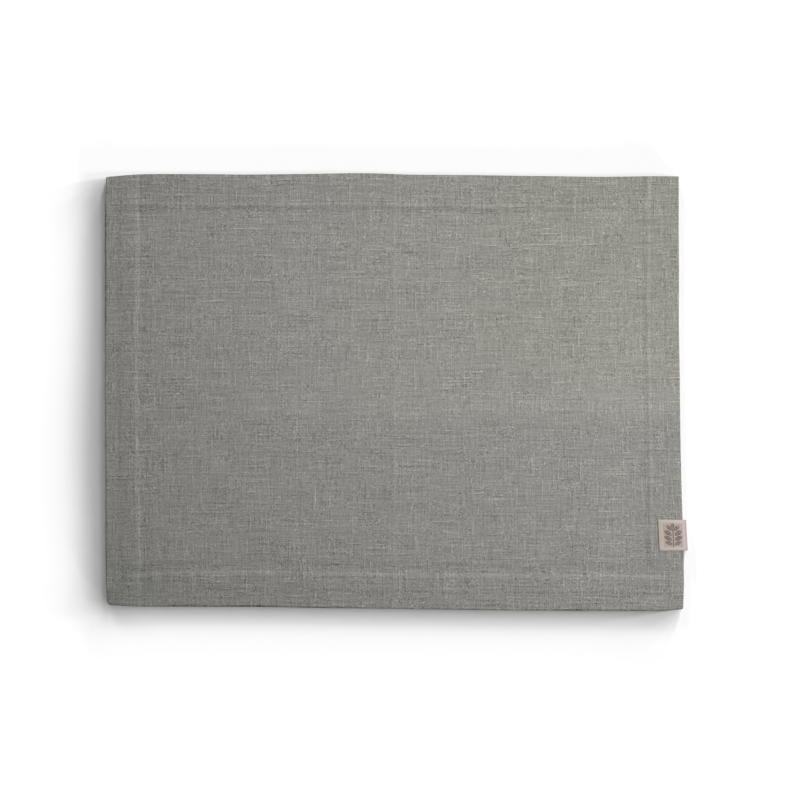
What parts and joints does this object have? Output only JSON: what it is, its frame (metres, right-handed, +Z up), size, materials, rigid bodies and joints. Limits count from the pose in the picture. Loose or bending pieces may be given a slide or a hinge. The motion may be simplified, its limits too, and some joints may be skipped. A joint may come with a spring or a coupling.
{
  "type": "fabric placemat",
  "caption": "Flat rectangular linen placemat with wide stitched hems on all sides and a small folded tape label on its right edge.",
  "frame": {"origin": "middle of the placemat's footprint, label included, on the plane of the table under it", "axes": "+X to the right along the mat's long side, towards the edge that carries the label; +Y away from the diner along the short side; +Z up out of the table, on the cloth's face side"},
  "size_m": [0.5064, 0.38, 0.0049],
  "materials": {
    "linen": "sage grey melange linen in a plain weave with slubs, matt",
    "tape": "light warm beige cotton tape, finely woven, matt"
  },
  "bodies": {
    "root": {"mat_cloth": "linen", "side_label": "tape"}
  },
  "joints": []
}
